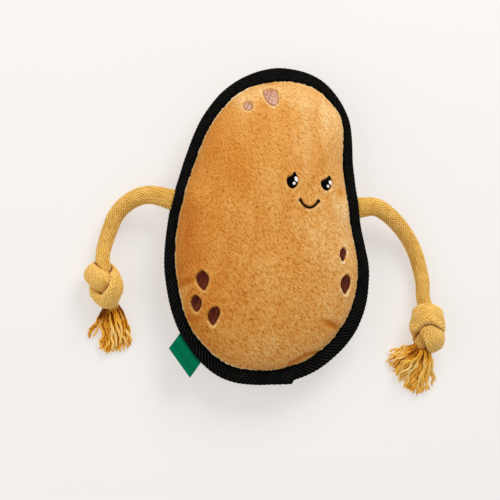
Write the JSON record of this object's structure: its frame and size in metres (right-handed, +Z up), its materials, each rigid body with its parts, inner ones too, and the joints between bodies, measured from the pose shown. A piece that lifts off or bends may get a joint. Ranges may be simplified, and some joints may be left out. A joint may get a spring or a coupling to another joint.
{
  "type": "plush dog toy",
  "caption": "Flat stuffed plush toy for dogs with a bound edge, a sewn smiling face, knotted rope arms with frayed ends and a squeaker inside.",
  "frame": {"origin": "on the floor, under the middle of the body's box without the free ropes", "axes": "+Z up out of the face, +Y toward the head end, +X to the right as the face is looked at"},
  "size_m": [0.2906, 0.2636, 0.0565],
  "materials": {
    "plush": "short-pile golden tan plush",
    "lining": "plain woven lining",
    "filling": "soft fibre filling",
    "webbing": "black twill-woven edge tape",
    "cotton_rope": "ochre braided cotton rope",
    "black_thread": "satin-stitched black thread",
    "white_thread": "satin-stitched white thread",
    "dark_spot": "sewn dark brown thread",
    "pale_spot": "sewn pinkish brown thread",
    "label": "green woven tape",
    "squeaker_plastic": "blown translucent plastic"
  },
  "bodies": {
    "body": {"front_plush_panel": "plush", "back_plush_panel": "plush", "front_lining": "lining", "back_lining": "lining", "front_stuffing": "filling", "back_stuffing": "filling", "edge_binding": "webbing", "squeaker_bulb": "squeaker_plastic", "squeaker_reed_holder": "squeaker_plastic", "squeaker_reed": "squeaker_plastic", "left_eye": "black_thread", "right_eye": "black_thread", "left_eye_glint_large": "white_thread", "left_eye_glint_small": "white_thread", "right_eye_glint_large": "white_thread", "right_eye_glint_small": "white_thread", "mouth": "black_thread", "spot_head_small": "pale_spot", "spot_head_large": "pale_spot", "spot_left_upper": "dark_spot", "spot_left_middle": "dark_spot", "spot_left_lower": "dark_spot", "spot_right_upper": "dark_spot", "spot_right_lower": "dark_spot", "left_rope_root": "cotton_rope", "right_rope_root": "cotton_rope"},
    "left_arm": {"left_arm_rope": "cotton_rope"},
    "left_tassel": {"left_tassel": "cotton_rope"},
    "right_arm": {"right_arm_rope": "cotton_rope"},
    "right_tassel": {"right_tassel": "cotton_rope"},
    "label": {"side_label": "label"}
  },
  "joints": [
    {"name": "left_arm_swing", "type": "hinge", "parent": "body", "child": "left_arm", "pos_m": [-0.08721, 0.02189, 0.024], "axis": [0, 0, -1], "range_deg": [-12, 75]},
    {"name": "left_tassel_sway", "type": "hinge", "parent": "left_arm", "child": "left_tassel", "pos_m": [-0.12123, -0.07475, 0.005], "axis": [0, 0, 1], "range_deg": [-20, 20]},
    {"name": "right_arm_swing", "type": "hinge", "parent": "body", "child": "right_arm", "pos_m": [0.08485, 0.01715, 0.024], "axis": [0, 0, 1], "range_deg": [-12, 75]},
    {"name": "right_tassel_sway", "type": "hinge", "parent": "right_arm", "child": "right_tassel", "pos_m": [0.1276, -0.10322, 0.00821], "axis": [0, 0, 1], "range_deg": [-20, 20]},
    {"name": "label_flap", "type": "hinge", "parent": "body", "child": "label", "pos_m": [-0.06311, -0.09864, 0.024], "axis": [0.583, -0.8125, 0], "range_deg": [-60, 60], "stiffness_Nm_per_rad": 0.0008}
  ]
}
